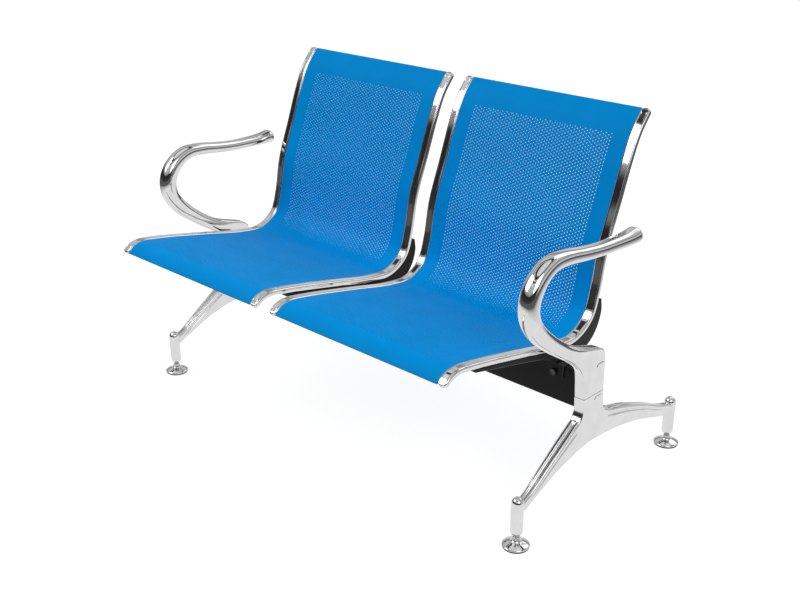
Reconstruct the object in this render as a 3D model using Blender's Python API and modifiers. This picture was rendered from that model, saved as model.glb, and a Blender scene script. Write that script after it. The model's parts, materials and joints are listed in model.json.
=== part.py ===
"""A two-seat beam bench: bent steel seats on a beam, with cast armrests and legs.

Metres, +Z up, front at -Y. Left and right are as seen from the front.
"""

import math

import bmesh
import bpy
from mathutils import Matrix, Vector

# Driving dimensions
SEAT_PITCH = 0.522
PANEL_WIDTH = 0.4392
SHEET = 0.0015
RAIL_WIDTH = 0.021
RAIL_DEPTH = 0.0115
RAIL_WALL = 0.0015
RAIL_PROUD = 0.0015  # how far the rail's face stands above the sheet
RAIL_ROUND = 0.0035
END_X = 0.556  # the plane of each leg and armrest
BEAM_Y = 0.0046
BEAM_DEPTH = 0.050
BEAM_HEIGHT = 0.080
BEAM_BOTTOM = 0.2265
BEAM_WALL = 0.002
BEAM_ROUND = 0.005
HUB_WIDTH = 0.025
SEAM_Z = 0.254  # where the armrest stands on the leg
FOOT_Y = {"front": -0.2115, "rear": 0.3407}
CAP_Z = {"front": 0.0985, "rear": 0.1060}
POST_RADIUS = 0.013
POST_BOTTOM = 0.031
PAD_RADIUS = 0.028
STUD_RADIUS = 0.005
SOLE_THICK = 0.003
SOLE_RADIUS = 0.027
GAP = 0.0003  # between pieces that touch

# Brackets and saddles
BRACKET_WIDTH = 0.018
BRACKET_EDGE = 0.0015
SCREW_Y = {"front": -0.245, "rear": -0.105}
SCREW_RADIUS = 0.003
SCREW_SEAT = 0.017  # how deep under the sheet's upper face a screw's head sits
SCREW_TIP = 0.006
SCREW_HEAD_RADIUS = 0.0055
SCREW_HEAD_HEIGHT = 0.0035
SADDLE_WIDTH = 0.040
SADDLE_PLATE = 0.004
SADDLE_LOW = 0.280
SADDLE_BOLT_Z = 0.2915

# Bolts, M8
BOLT_RADIUS = 0.004
HEX_RADIUS = 0.0075
HEX_HEIGHT = 0.005
NUT_HEIGHT = 0.0065
BOLT_END = 0.010  # how far a bolt reaches past what its nut clamps
CAP_HEAD_RADIUS = 0.0065
CAP_HEAD_HEIGHT = 0.008
SOCKET_RADIUS = 0.0035
ARM_BOLT_SEAT = 0.200
ARM_BOLT_TOP = 0.296
ARM_BOLT_POCKET = 0.007
ARM_BOLT_Y = {"front": BEAM_Y - 0.018, "rear": BEAM_Y + 0.018}
BEAM_BOLT_INSET = {"outer": 0.015, "inner": 0.040}
BEAM_BOLT_TOP = 0.2465
TONGUE_LENGTH = 0.055  # of each leg, inside the beam
TONGUE_LOW = BEAM_BOTTOM + BEAM_WALL + 2 * GAP
BORE_TOP = 0.085  # of the hole up each post, for its stud

BEAM_TOP = BEAM_BOTTOM + BEAM_HEIGHT
BEAM_HALF_LENGTH = END_X - HUB_WIDTH / 2 - GAP
HUB_FRONT = -0.0263  # at the seam
HUB_REAR = 0.0419
RAIL_X = PANEL_WIDTH / 2 + GAP + RAIL_WIDTH / 2  # from the middle of the seat
RAIL_CENTRE = RAIL_PROUD - RAIL_DEPTH / 2  # along the normal of the sheet's upper face
RAIL_BACK = RAIL_PROUD - RAIL_DEPTH
SIDES = {"left": -1, "right": 1}

# The upper face of a seat, from its front lip to the top of the back, as (y, z)
SEAT_CURVE = (
    (-0.3664, 0.3880),
    (-0.3544, 0.3985),
    (-0.3304, 0.4058),
    (-0.2754, 0.4003),
    (-0.1454, 0.3765),
    (-0.0254, 0.3535),
    (0.0346, 0.3520),
    (0.0796, 0.3790),
    (0.0991, 0.4300),
    (0.1166, 0.5150),
    (0.1506, 0.6050),
    (0.1826, 0.6900),
    (0.2066, 0.7400),
    (0.2386, 0.7800),
)

# A seat bracket's lower edge: under its arm, a flat foot on the beam, then up behind the back to its tip
BRACKET_FRONT = -0.285
BRACKET_TIP = 0.409
BRACKET_FOOT = BEAM_TOP + 2 * GAP + 0.004
BRACKET_ARM = (
    (-0.2804, 0.3830),
    (-0.2024, 0.3660),
    (-0.1024, 0.3440),
    (-0.0484, 0.3280),
    (-0.0244, BRACKET_FOOT),
)
BRACKET_BACK = (
    (0.0356, BRACKET_FOOT),
    (0.0776, 0.3200),
    (0.1056, 0.3460),
    (0.1191, 0.3820),
    (0.1166, 0.4090),
)

# Sections across each casting as (outer y, outer z, inner y, inner z, width, lean towards the seats)
ARM_SECTIONS = (
    (0.1226, 0.5740, 0.1286, 0.5440, 0.0365, 0.0000),
    (0.0976, 0.5702, 0.1000, 0.5438, 0.0345, 0.0010),
    (0.0556, 0.5690, 0.0576, 0.5450, 0.0325, 0.0025),
    (0.0076, 0.5700, 0.0086, 0.5465, 0.0310, 0.0040),
    (-0.0454, 0.5760, -0.0424, 0.5505, 0.0320, 0.0055),
    (-0.0964, 0.5835, -0.0904, 0.5560, 0.0340, 0.0065),
    (-0.1480, 0.5825, -0.1304, 0.5545, 0.0360, 0.0070),
    (-0.1884, 0.5590, -0.1590, 0.5393, 0.0380, 0.0070),
    (-0.2134, 0.5190, -0.1778, 0.5095, 0.0380, 0.0070),
    (-0.2112, 0.4725, -0.1768, 0.4805, 0.0380, 0.0068),
    (-0.1836, 0.4288, -0.1582, 0.4542, 0.0360, 0.0058),
    (-0.1444, 0.3968, -0.1250, 0.4236, 0.0330, 0.0043),
    (-0.0984, 0.3660, -0.0824, 0.3932, 0.0300, 0.0025),
    (-0.0584, 0.3400, -0.0444, 0.3740, 0.0265, 0.0010),
    (-0.0354, 0.3170, -0.0024, 0.3600, HUB_WIDTH, 0.0000),
    (-0.0292, 0.2950, 0.0361, 0.3440, HUB_WIDTH, 0.0000),
    (-0.0279, 0.2750, 0.0406, 0.3050, HUB_WIDTH, 0.0000),
    (HUB_FRONT, SEAM_Z + GAP, HUB_REAR, SEAM_Z + GAP, HUB_WIDTH, 0.0000),
)
FRONT_LEG_SECTIONS = (
    (HUB_FRONT, SEAM_Z, HUB_REAR, SEAM_Z, HUB_WIDTH, 0.0),
    (-0.0252, 0.2300, 0.0426, 0.2060, HUB_WIDTH, 0.0),
    (-0.0314, 0.2120, 0.0276, 0.1610, HUB_WIDTH, 0.0),
    (-0.0524, 0.1970, -0.0144, 0.1455, HUB_WIDTH, 0.0),
    (-0.0820, 0.1775, -0.0574, 0.1370, 0.0245, 0.0),
    (-0.1148, 0.1555, -0.0969, 0.1255, 0.0235, 0.0),
    (-0.1503, 0.1310, -0.1374, 0.1080, 0.0220, 0.0),
    (-0.1814, 0.1090, -0.1724, 0.0915, 0.0205, 0.0),
    (-0.2074, 0.0950, -0.2024, 0.0780, 0.0200, 0.0),
)
REAR_LEG_SECTIONS = (
    (HUB_REAR, SEAM_Z, HUB_FRONT, SEAM_Z, HUB_WIDTH, 0.0),
    (0.0436, 0.2300, -0.0234, 0.2050, HUB_WIDTH, 0.0),
    (0.0486, 0.2100, -0.0124, 0.1560, HUB_WIDTH, 0.0),
    (0.0716, 0.1975, 0.0346, 0.1470, HUB_WIDTH, 0.0),
    (0.1156, 0.1860, 0.1006, 0.1420, 0.0245, 0.0),
    (0.1746, 0.1670, 0.1611, 0.1305, 0.0235, 0.0),
    (0.2296, 0.1460, 0.2176, 0.1165, 0.0220, 0.0),
    (0.2876, 0.1200, 0.2786, 0.0960, 0.0205, 0.0),
    (0.3366, 0.1030, 0.3306, 0.0840, 0.0200, 0.0),
)
ARM_TIP = 0.011  # how far the armrest's domed tip reaches past its first section
SECTION_ROUND = 0.36  # corner radius of a casting's section, as a share of its smaller side


# Materials and collections

def material(name, colour, metallic, roughness):
    made = bpy.data.materials.new(name)
    made.use_nodes = True
    shader = made.node_tree.nodes["Principled BSDF"]
    shader.inputs["Base Color"].default_value = (*colour, 1.0)
    shader.inputs["Metallic"].default_value = metallic
    shader.inputs["Roughness"].default_value = roughness
    made.diffuse_color = (*colour, 1.0)
    return made


def collection(name):
    made = bpy.data.collections.new(name)
    bpy.context.scene.collection.children.link(made)
    return made


def add(name, data, look, place=(0.0, 0.0, 0.0)):
    """A part of the bench, its origin at `place`."""
    obj = bpy.data.objects.new(name, data)
    obj.location = place
    PARTS.objects.link(obj)
    if look:
        data.materials.append(look)
    return obj


def hide(obj):
    """Makes a finished object a cutter or a guide."""
    PARTS.objects.unlink(obj)
    CUTTERS.objects.link(obj)
    obj.hide_render = True
    obj.display_type = "WIRE"
    return obj


# Curves in the side view

def through(points, steps):
    """A smooth centripetal Catmull-Rom curve through the points, with `steps` to each stretch."""
    points = [Vector(p) for p in points]
    points = [2 * points[0] - points[1], *points, 2 * points[-1] - points[-2]]
    curve = []
    for a, b, c, d in zip(points, points[1:], points[2:], points[3:]):
        t1 = (b - a).length ** 0.5
        t2 = t1 + (c - b).length ** 0.5
        t3 = t2 + (d - c).length ** 0.5
        for step in range(steps):
            t = t1 + (t2 - t1) * step / steps
            ab = a.lerp(b, t / t1)
            bc = b.lerp(c, (t - t1) / (t2 - t1))
            cd = c.lerp(d, (t - t2) / (t3 - t2))
            early = ab.lerp(bc, t / t2)
            late = bc.lerp(cd, (t - t1) / (t3 - t1))
            curve.append(early.lerp(late, (t - t1) / (t2 - t1)))
    return [*curve, points[-2]]


def tangents(path):
    ends = [path[0], *path, path[-1]]
    return [(after - before).normalized() for before, after in zip(ends, ends[2:])]


def beside(path, distance):
    """The path moved along its normal, which on the seat's curve points up and forward."""
    return [p + distance * Vector((-t.y, t.x)) for p, t in zip(path, tangents(path))]


def seat_path(distance=0.0):
    """The seat's curve as (y, z), moved off the sheet's upper face by `distance`."""
    return beside(through(SEAT_CURVE, 2), distance)


# Shapes

def rounded_rectangle(width, depth, radius, per_corner):
    """Corners of a rounded rectangle in order, each rounded with `per_corner` points."""
    points = []
    for quarter in range(4):
        centre_x = (width / 2 - radius) * (1 if quarter in (0, 3) else -1)
        centre_y = (depth / 2 - radius) * (1 if quarter in (0, 1) else -1)
        for step in range(per_corner):
            angle = math.pi / 2 * (quarter + step / (per_corner - 1))
            points.append((centre_x + radius * math.cos(angle), centre_y + radius * math.sin(angle)))
    return points


def loft(name, rings, look):
    """A closed solid through rings of unlike size, which all have the same number of points."""
    bm = bmesh.new()
    loops = [[bm.verts.new(point) for point in ring] for ring in rings]
    for first, second in zip(loops, loops[1:]):
        for i in range(len(first)):
            bm.faces.new((first[i - 1], first[i], second[i], second[i - 1]))
    bm.faces.new(loops[0])
    bm.faces.new(loops[-1])
    bmesh.ops.recalc_face_normals(bm, faces=bm.faces)
    mesh = bpy.data.meshes.new(name)
    bm.to_mesh(mesh)
    bm.free()
    mesh.shade_smooth()
    mesh.set_sharp_from_angle(angle=math.radians(40))
    return add(name, mesh, look)


def casting_ring(side, section, shrink=1.0):
    """One section of a casting: a rounded rectangle that spans from its outer to its inner point."""
    outer_y, outer_z, inner_y, inner_z, width, lean = section
    x = SIDES[side] * (END_X - lean)
    outer = Vector((x, outer_y, outer_z))
    inner = Vector((x, inner_y, inner_z))
    centre = (outer + inner) / 2
    depth = (outer - inner).length
    across = (outer - inner).normalized()
    radius = SECTION_ROUND * min(width, depth)
    flat = rounded_rectangle(width * shrink, depth * shrink, radius * shrink, 3)
    return [centre + Vector((u, 0, 0)) + v * across for u, v in flat]


def casting(name, side, sections, look):
    return loft(name, [casting_ring(side, s) for s in through(sections, 2)], look)


def outline(name, points, x, width, edge, look):
    """A flat plate in the side view, `width` thick about `x`, its edges broken by `edge`."""
    data = bpy.data.curves.new(name, "CURVE")
    data.dimensions = "2D"
    data.fill_mode = "BOTH"
    data.extrude = width / 2 - edge
    data.bevel_depth = edge
    data.bevel_resolution = 0
    data.offset = -edge  # the bevel grows outwards by as much
    spline = data.splines.new("POLY")
    spline.points.add(len(points) - 1)
    for target, (y, z) in zip(spline.points, points):
        target.co = (y, z, 0.0, 1.0)
    spline.use_cyclic_u = True
    obj = add(name, data, look, (x, 0.0, 0.0))
    obj.rotation_euler = (math.pi / 2, 0.0, math.pi / 2)
    return obj


def turned(name, profile, look, place=(0.0, 0.0, 0.0), steps=16):
    """A solid of revolution about its own Z. The profile of (radius, height) runs down the outer side."""
    mesh = bpy.data.meshes.new(name)
    edges = [(i, i + 1) for i in range(len(profile) - 1)]
    mesh.from_pydata([(r, 0.0, h) for r, h in profile], edges, [])
    obj = add(name, mesh, look, place)
    screw = obj.modifiers.new("Turn", "SCREW")
    screw.steps = screw.render_steps = steps
    screw.use_merge_vertices = True
    screw.merge_threshold = 1e-5
    return obj


def box(name, low, high, look, bevel=0.0):
    low, high = Vector(low), Vector(high)
    bm = bmesh.new()
    size = Matrix.Diagonal((*(high - low), 1.0))
    bmesh.ops.create_cube(bm, size=1.0, matrix=Matrix.Translation((low + high) / 2) @ size)
    if bevel:
        bmesh.ops.bevel(bm, geom=bm.edges[:], offset=bevel, segments=2, profile=0.5, affect="EDGES")
    mesh = bpy.data.meshes.new(name)
    bm.to_mesh(mesh)
    bm.free()
    return add(name, mesh, look)


def rod(name, start, end, radius, look, sides=12):
    """A cylinder, or a hexagon with six sides, from one point to another."""
    start, end = Vector(start), Vector(end)
    turn = (end - start).to_track_quat("Z", "X").to_matrix().to_4x4()
    bm = bmesh.new()
    bmesh.ops.create_cone(
        bm,
        cap_ends=True,
        segments=sides,
        radius1=radius,
        radius2=radius,
        depth=(end - start).length,
        matrix=Matrix.Translation((start + end) / 2) @ turn,
    )
    mesh = bpy.data.meshes.new(name)
    bm.to_mesh(mesh)
    bm.free()
    return add(name, mesh, look)


def join(obj, other, operation):
    """Adds or cuts `other`, which becomes a hidden helper."""
    hide(other)
    boolean = obj.modifiers.new(other.name, "BOOLEAN")
    boolean.operation = operation
    boolean.object = other


def as_mesh(obj):
    """The evaluated object as a mesh object of the same name, so that it can be cut."""
    graph = bpy.context.evaluated_depsgraph_get()
    mesh = bpy.data.meshes.new_from_object(obj.evaluated_get(graph))
    bm = bmesh.new()
    bm.from_mesh(mesh)
    bmesh.ops.remove_doubles(bm, verts=bm.verts, dist=1e-6)
    bmesh.ops.recalc_face_normals(bm, faces=bm.faces)
    bm.to_mesh(mesh)
    bm.free()
    name, world = obj.name, obj.matrix_world.copy()
    bpy.data.objects.remove(obj)
    made = add(name, mesh, None)
    made.matrix_world = world
    return made


# Seats

def seat_panel(side, x):
    """The bent sheet: the seat's curve drawn out to the panel's width, then thickened downwards."""
    name = f"seat_panel_{side}"
    bm = bmesh.new()
    path = [bm.verts.new((-PANEL_WIDTH / 2, y, z)) for y, z in seat_path()]
    edges = [bm.edges.new(pair) for pair in zip(path, path[1:])]
    drawn = bmesh.ops.extrude_edge_only(bm, edges=edges)["geom"]
    new = [v for v in drawn if isinstance(v, bmesh.types.BMVert)]
    bmesh.ops.translate(bm, verts=new, vec=(PANEL_WIDTH, 0, 0))
    bmesh.ops.recalc_face_normals(bm, faces=bm.faces)
    bm.faces.ensure_lookup_table()
    if bm.faces[0].normal.z < 0:
        bmesh.ops.reverse_faces(bm, faces=bm.faces)
    mesh = bpy.data.meshes.new(name)
    bm.to_mesh(mesh)
    bm.free()
    mesh.shade_smooth()
    obj = add(name, mesh, BLUE_COAT, (x, 0.0, 0.0))
    shell = obj.modifiers.new("Sheet", "SOLIDIFY")
    shell.thickness = SHEET
    shell.offset = -1.0
    shell.use_even_offset = True


def rail_section():
    """The rail's rounded outline, swept along each rail by its curve."""
    data = bpy.data.curves.new("rail_section", "CURVE")
    data.dimensions = "2D"
    spline = data.splines.new("POLY")
    points = rounded_rectangle(RAIL_WIDTH, RAIL_DEPTH, RAIL_ROUND, 2)[::-1]
    spline.points.add(len(points) - 1)
    for target, (x, y) in zip(spline.points, points):
        target.co = (x, y, 0.0, 1.0)
    spline.use_cyclic_u = True
    return hide(add("rail_section", data, None))


def side_rail(name, x, section):
    """A flat-oval tube bent along the seat's curve."""
    path = seat_path(RAIL_CENTRE)
    data = bpy.data.curves.new(name, "CURVE")
    data.dimensions = "3D"
    data.bevel_mode = "OBJECT"
    data.bevel_object = section
    spline = data.splines.new("POLY")
    spline.points.add(len(path) - 1)
    for target, (y, z) in zip(spline.points, path):
        target.co = (0.0, y, z, 1.0)
    obj = add(name, data, CHROME, (x, 0.0, 0.0))
    wall = obj.modifiers.new("Wall", "SOLIDIFY")
    wall.thickness = RAIL_WALL
    wall.offset = -1.0
    wall.use_even_offset = True
    bpy.context.view_layer.update()
    return as_mesh(obj)


def rail_plug(name, x, end, outward):
    """A domed plug whose tongue sits inside the end of a rail."""
    rings = []
    inner_width = RAIL_WIDTH - 2 * RAIL_WALL - 2 * GAP
    inner_depth = RAIL_DEPTH - 2 * RAIL_WALL - 2 * GAP
    for along, width, depth, radius in (
        (-0.005, inner_width, inner_depth, 0.0028),
        (GAP, inner_width, inner_depth, 0.0028),
        (GAP, RAIL_WIDTH, RAIL_DEPTH, RAIL_ROUND),
        (0.0018, RAIL_WIDTH, RAIL_DEPTH, RAIL_ROUND),
        (0.0031, RAIL_WIDTH - 0.003, RAIL_DEPTH - 0.003, 0.0030),
        (0.0036, RAIL_WIDTH - 0.007, RAIL_DEPTH - 0.006, 0.0020),
    ):
        centre = end + along * outward
        across = Vector((-outward.y, outward.x))
        flat = rounded_rectangle(width, depth, radius, 2)
        rings.append([Vector((u, *(centre + v * across))) for u, v in flat])
    plug = loft(name, rings, CHROME)
    plug.location.x = x


def bracket_outline():
    """Along the back of the rail, then back along the bracket's own lower edge."""
    back = seat_path(RAIL_BACK - GAP)
    rail_side = [p for p in back if p.x > BRACKET_FRONT and p.y < BRACKET_TIP]
    lower_edge = [*through(BRACKET_ARM, 2), *through(BRACKET_BACK, 2)]
    return [*rail_side, *reversed(lower_edge)]


def station_at(y):
    """The point of the seat's curve at `y` on the seat, and the direction of the curve there."""
    path = seat_path()
    for start, end in zip(path, path[1:]):
        if start.x <= y < end.x:
            return start.lerp(end, (y - start.x) / (end.x - start.x)), (end - start).normalized()


def bracket_screw(name, x, y, bracket, rail):
    """A pan-head screw, up through the bracket's arm into the back of the rail."""
    point, tangent = station_at(y)
    normal = Vector((-tangent.y, tangent.x))

    def at(depth):
        return Vector((x, *(point - depth * normal)))

    shank = rod(name, at(SCREW_TIP), at(SCREW_SEAT + 0.001), SCREW_RADIUS, STEEL, 8)
    under = SCREW_SEAT + SCREW_HEAD_HEIGHT
    head = rod(f"{name}_head", at(SCREW_SEAT), at(under), SCREW_HEAD_RADIUS, None, 8)
    join(shank, head, "UNION")
    for target, tag in ((bracket, "bracket"), (rail, "rail")):
        start, end = at(SCREW_TIP - 0.0005), at(0.030)
        hole = rod(f"{name}_hole_{tag}", start, end, SCREW_RADIUS + GAP, None, 8)
        join(target, hole, "DIFFERENCE")
    start, end = at(SCREW_SEAT - GAP), at(0.040)
    pocket = rod(f"{name}_pocket", start, end, SCREW_HEAD_RADIUS + GAP, None, 8)
    join(bracket, pocket, "DIFFERENCE")


def seat(side, section):
    x = SIDES[side] * SEAT_PITCH / 2
    seat_panel(side, x)
    path = seat_path(RAIL_CENTRE)
    along = tangents(path)
    for place, way in (("outer", SIDES[side]), ("inner", -SIDES[side])):
        rail_x = x + way * RAIL_X
        tag = f"{side}_{place}"
        rail = side_rail(f"side_rail_{tag}", rail_x, section)
        rail_plug(f"rail_plug_{tag}_front", rail_x, path[0], -along[0])
        rail_plug(f"rail_plug_{tag}_top", rail_x, path[-1], along[-1])
        name = f"seat_bracket_{tag}"
        plate = outline(name, bracket_outline(), rail_x, BRACKET_WIDTH, BRACKET_EDGE, BLACK_COAT)
        bracket = as_mesh(plate)
        for station, y in SCREW_Y.items():
            bracket_screw(f"bracket_screw_{tag}_{station}", rail_x, y, bracket, rail)
        saddle(tag, rail_x)


# Beam

def beam():
    """A rounded rectangular tube along X, open at both ends."""
    half = BEAM_HALF_LENGTH
    low = (-half, BEAM_Y - BEAM_DEPTH / 2, BEAM_BOTTOM)
    tube = box("beam", low, (half, BEAM_Y + BEAM_DEPTH / 2, BEAM_TOP), BLACK_COAT)
    bm = bmesh.new()
    bm.from_mesh(tube.data)
    long_edges = [e for e in bm.edges if e.calc_length() > half]
    bmesh.ops.bevel(bm, geom=long_edges, offset=BEAM_ROUND, segments=2, profile=0.5, affect="EDGES")
    ends = [f for f in bm.faces if abs(f.normal.x) > 0.9]
    bmesh.ops.delete(bm, geom=ends, context="FACES_ONLY")
    bm.to_mesh(tube.data)
    bm.free()
    wall = tube.modifiers.new("Wall", "SOLIDIFY")
    wall.thickness = BEAM_WALL
    wall.offset = -1.0
    wall.use_even_offset = True
    return tube


def saddle(tag, x):
    """An inverted U that carries a bracket over the beam."""
    inner = BEAM_DEPTH / 2 + GAP
    outer = inner + SADDLE_PLATE
    under = BEAM_TOP + GAP
    top = under + SADDLE_PLATE
    points = [
        (BEAM_Y - outer, SADDLE_LOW),
        (BEAM_Y - inner, SADDLE_LOW),
        (BEAM_Y - inner, under),
        (BEAM_Y + inner, under),
        (BEAM_Y + inner, SADDLE_LOW),
        (BEAM_Y + outer, SADDLE_LOW),
        (BEAM_Y + outer, top),
        (BEAM_Y - outer, top),
    ]
    piece = as_mesh(outline(f"beam_saddle_{tag}", points, x, SADDLE_WIDTH, 0.0, BLACK_COAT))

    def at(y):
        return (x, BEAM_Y + y, SADDLE_BOLT_Z)

    reach = outer + GAP
    bolt = rod(f"saddle_bolt_{tag}", at(-reach - 0.001), at(reach + BOLT_END), BOLT_RADIUS, STEEL, 8)
    head = rod(f"saddle_head_{tag}", at(-reach - HEX_HEIGHT), at(-reach), HEX_RADIUS, None, 6)
    nut = rod(f"saddle_nut_{tag}", at(reach), at(reach + NUT_HEIGHT), HEX_RADIUS, None, 6)
    join(bolt, head, "UNION")
    join(bolt, nut, "UNION")
    for target in (piece, BEAM):
        name = f"saddle_hole_{tag}_{target.name}"
        join(target, rod(name, at(-0.05), at(0.05), BOLT_RADIUS + GAP, None, 8), "DIFFERENCE")


# Legs and armrests

def armrest(side):
    """The loop and the upper half of the hub, in one casting with a rounded tip."""
    x = SIDES[side] * END_X
    sections = through(ARM_SECTIONS, 2)
    tip = sections[0]
    away = Vector((0.0, tip[0] - sections[1][0], tip[1] - sections[1][1])).normalized()
    cap = []
    for degrees in (79.5, 53.0, 26.5):
        angle = math.radians(degrees)
        ring = casting_ring(side, tip, math.cos(angle))
        cap.append([point + ARM_TIP * math.sin(angle) * away for point in ring])
    piece = loft(f"armrest_{side}", [*cap, *(casting_ring(side, s) for s in sections)], CAST_CHROME)
    for place, y in ARM_BOLT_Y.items():
        start = (x, y, SEAM_Z - 0.002)
        end = (x, y, ARM_BOLT_TOP + 0.002)
        hole = rod(f"arm_hole_{side}_{place}", start, end, BOLT_RADIUS + GAP, None, 8)
        join(piece, hole, "DIFFERENCE")


def post(name, x, place):
    """The round post at the end of a leg, with a domed top."""
    cap = [
        (POST_RADIUS * math.sin(angle), CAP_Z[place] + POST_RADIUS * math.cos(angle))
        for angle in (math.pi / 2 * step / 4 for step in range(5))
    ]
    foot_end = [
        (POST_RADIUS - 0.0007, POST_BOTTOM + 0.002),
        (POST_RADIUS - 0.0025, POST_BOTTOM),
        (0.0, POST_BOTTOM),
    ]
    return turned(name, [*cap, *foot_end], None, (x, FOOT_Y[place], 0.0))


def leg(side):
    """The lower half of the hub with both legs, their posts and the tongue that enters the beam."""
    way = SIDES[side]
    x = way * END_X
    piece = casting(f"leg_{side}", side, FRONT_LEG_SECTIONS, CAST_CHROME)
    join(piece, casting(f"rear_leg_{side}", side, REAR_LEG_SECTIONS, None), "UNION")
    inner = x - way * (HUB_WIDTH / 2 + TONGUE_LENGTH)
    root = x - way * HUB_WIDTH / 4
    half = BEAM_DEPTH / 2 - BEAM_WALL - 2 * GAP
    tongue = box(
        f"tongue_{side}",
        (min(inner, root), BEAM_Y - half + 0.002, TONGUE_LOW),
        (max(inner, root), BEAM_Y + half - 0.002, SEAM_Z - 0.0008),
        None,
    )
    join(piece, tongue, "UNION")
    for place, y in FOOT_Y.items():
        join(piece, post(f"post_{side}_{place}", x, place), "UNION")
        end = (x, y, BORE_TOP)
        bore = rod(f"bore_{side}_{place}", (x, y, 0.0), end, STUD_RADIUS + GAP, None)
        join(piece, bore, "DIFFERENCE")
    for place, y in ARM_BOLT_Y.items():
        seat_end = (x, y, ARM_BOLT_SEAT)
        start = (x, y, ARM_BOLT_SEAT - 0.010)
        end = (x, y, SEAM_Z + 0.010)
        hole = rod(f"leg_hole_{side}_{place}", start, end, BOLT_RADIUS + GAP, None, 8)
        pocket = rod(f"leg_pocket_{side}_{place}", (x, y, 0.120), seat_end, ARM_BOLT_POCKET, None)
        join(piece, hole, "DIFFERENCE")
        join(piece, pocket, "DIFFERENCE")
    for place, inset in BEAM_BOLT_INSET.items():
        bolt_x = way * (BEAM_HALF_LENGTH - inset)
        start = (bolt_x, BEAM_Y, 0.200)
        end = (bolt_x, BEAM_Y, BEAM_BOLT_TOP + 0.001)
        for target in (piece, BEAM):
            name = f"beam_hole_{side}_{place}_{target.name}"
            join(target, rod(name, start, end, BOLT_RADIUS + GAP, None, 8), "DIFFERENCE")


def bolts(side):
    """Cap screws up through the leg into the armrest, and hex bolts up through the beam into the leg."""
    x = SIDES[side] * END_X
    low = ARM_BOLT_SEAT - GAP
    for place, y in ARM_BOLT_Y.items():
        tag = f"{side}_{place}"
        top = (x, y, ARM_BOLT_TOP)
        under = (x, y, low - CAP_HEAD_HEIGHT)
        shank = rod(f"arm_bolt_{tag}", (x, y, low - 0.001), top, BOLT_RADIUS, STEEL, 8)
        head = rod(f"arm_head_{tag}", under, (x, y, low), CAP_HEAD_RADIUS, None)
        socket_low = (x, y, low - CAP_HEAD_HEIGHT - 0.001)
        socket = rod(f"arm_socket_{tag}", socket_low, (x, y, low - 0.004), SOCKET_RADIUS, None, 6)
        join(shank, head, "UNION")
        join(shank, socket, "DIFFERENCE")
    low = BEAM_BOTTOM - GAP
    for place, inset in BEAM_BOLT_INSET.items():
        tag = f"{side}_{place}"
        bolt_x = SIDES[side] * (BEAM_HALF_LENGTH - inset)
        top = (bolt_x, BEAM_Y, BEAM_BOLT_TOP)
        under = (bolt_x, BEAM_Y, low - HEX_HEIGHT)
        shank = rod(f"beam_bolt_{tag}", (bolt_x, BEAM_Y, low - 0.001), top, BOLT_RADIUS, STEEL, 8)
        head = rod(f"beam_head_{tag}", under, (bolt_x, BEAM_Y, low), HEX_RADIUS, None, 6)
        join(shank, head, "UNION")


# Levelling feet

def foot(side, place):
    """A swivelling pad on a threaded stud. Each piece has its origin on the stud's axis, at the floor."""
    at = (SIDES[side] * END_X, FOOT_Y[place], 0.0)
    tag = f"{side}_{place}"
    sole = [
        (0, SOLE_THICK),
        (SOLE_RADIUS - 0.0008, SOLE_THICK),
        (SOLE_RADIUS, SOLE_THICK - 0.0008),
        (SOLE_RADIUS, 0),
        (0, 0),
    ]
    turned(f"foot_sole_{tag}", sole, RUBBER, at)
    low = SOLE_THICK + GAP
    pad = [
        (0, 0.0075),
        (0.0063, 0.0075),
        (0.0063, 0.0155),
        (0.0092, 0.0155),
        (0.0102, 0.0140),
        (0.0150, 0.0112),
        (0.0215, 0.0090),
        (0.0265, 0.0066),
        (PAD_RADIUS, 0.0046),
        (PAD_RADIUS - 0.0004, low),
        (0, low),
    ]
    turned(f"foot_pad_{tag}", pad, CHROME, at, 20)
    thread = [
        (0, 0.070),
        (STUD_RADIUS - 0.001, 0.070),
        (STUD_RADIUS, 0.069),
        (STUD_RADIUS, 0.0150),
        (0.0060, 0.0140),
        (0.0060, 0.0090),
        (0.0045, 0.0078),
        (0, 0.0078),
    ]
    stud = turned(f"foot_stud_{tag}", thread, STEEL, at, 8)
    nut = rod(f"stud_hex_{tag}", (0, 0, 0.0165), (0, 0, 0.0225), 0.0081, None, 6)
    nut.location = at
    join(stud, nut, "UNION")


for old in list(bpy.data.objects):
    bpy.data.objects.remove(old)
PARTS = collection("beam_bench")
CUTTERS = collection("cutters")

BLUE_COAT = material("blue_powder_coat", (0.0, 0.215, 0.60), 0.0, 0.35)
CHROME = material("chrome_plate", (0.80, 0.80, 0.80), 1.0, 0.08)
CAST_CHROME = material("polished_casting", (0.78, 0.78, 0.78), 1.0, 0.10)
BLACK_COAT = material("black_powder_coat", (0.012, 0.012, 0.012), 0.0, 0.35)
STEEL = material("zinc_steel", (0.55, 0.55, 0.56), 1.0, 0.30)
RUBBER = material("black_rubber", (0.02, 0.02, 0.02), 0.0, 0.8)

BEAM = beam()
RAIL_OUTLINE = rail_section()
for end in SIDES:
    seat(end, RAIL_OUTLINE)
    armrest(end)
    leg(end)
    bolts(end)
    for corner in FOOT_Y:
        foot(end, corner)
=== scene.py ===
"""The looks of the two-seat beam bench, built around its CAD frame. Metres, +Z up, front at -Y."""

import json
import math

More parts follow.
